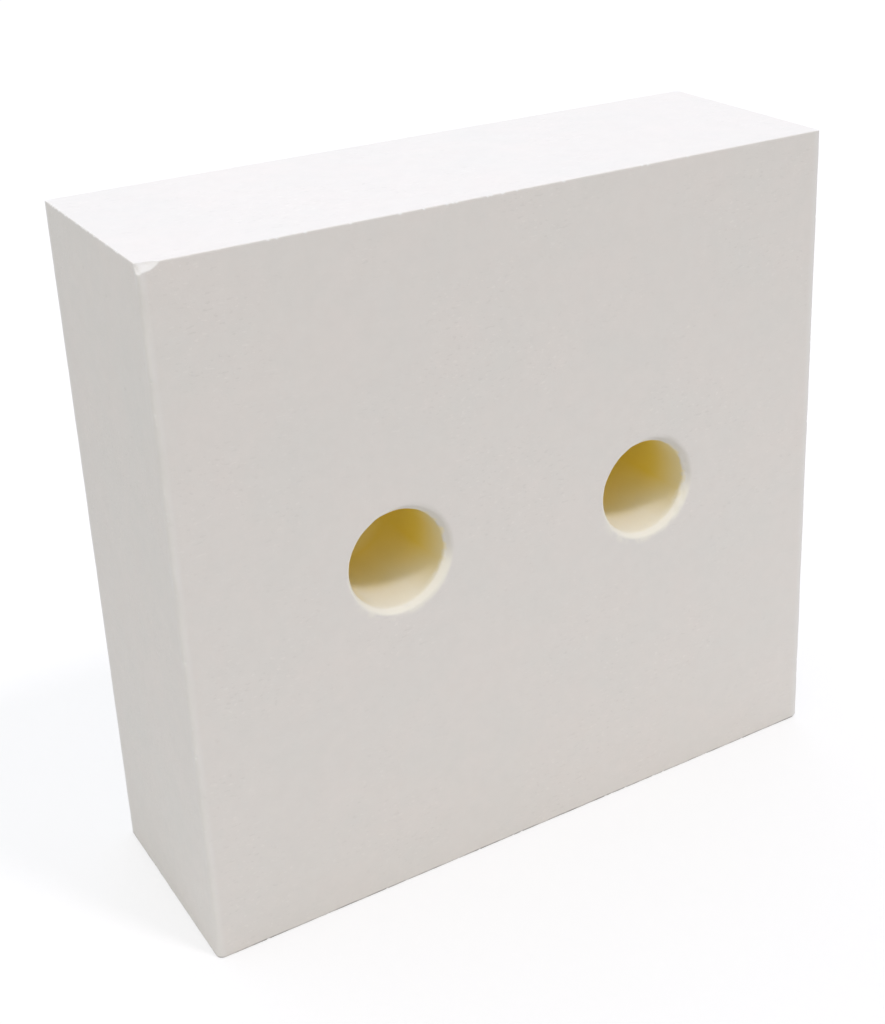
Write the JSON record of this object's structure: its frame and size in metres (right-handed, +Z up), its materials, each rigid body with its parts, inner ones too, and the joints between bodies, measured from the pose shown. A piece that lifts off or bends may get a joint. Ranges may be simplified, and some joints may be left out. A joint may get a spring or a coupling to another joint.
{
  "type": "alumina refractory block",
  "caption": "Upright white fired alumina block with round through bores side by side in its wide face, crisp edges, one of them rubbed round, and a flaked corner.",
  "frame": {"origin": "middle of the face that the block stands on", "axes": "+Z up; +X to the right along the pierced face; -Y out of the front of the pierced face, which the flaked corner is on; +Y is the thin direction, along the bores"},
  "size_m": [0.3, 0.098, 0.29],
  "materials": {
    "alumina": "matte"
  },
  "bodies": {
    "root": {"block": "alumina"}
  },
  "joints": []
}
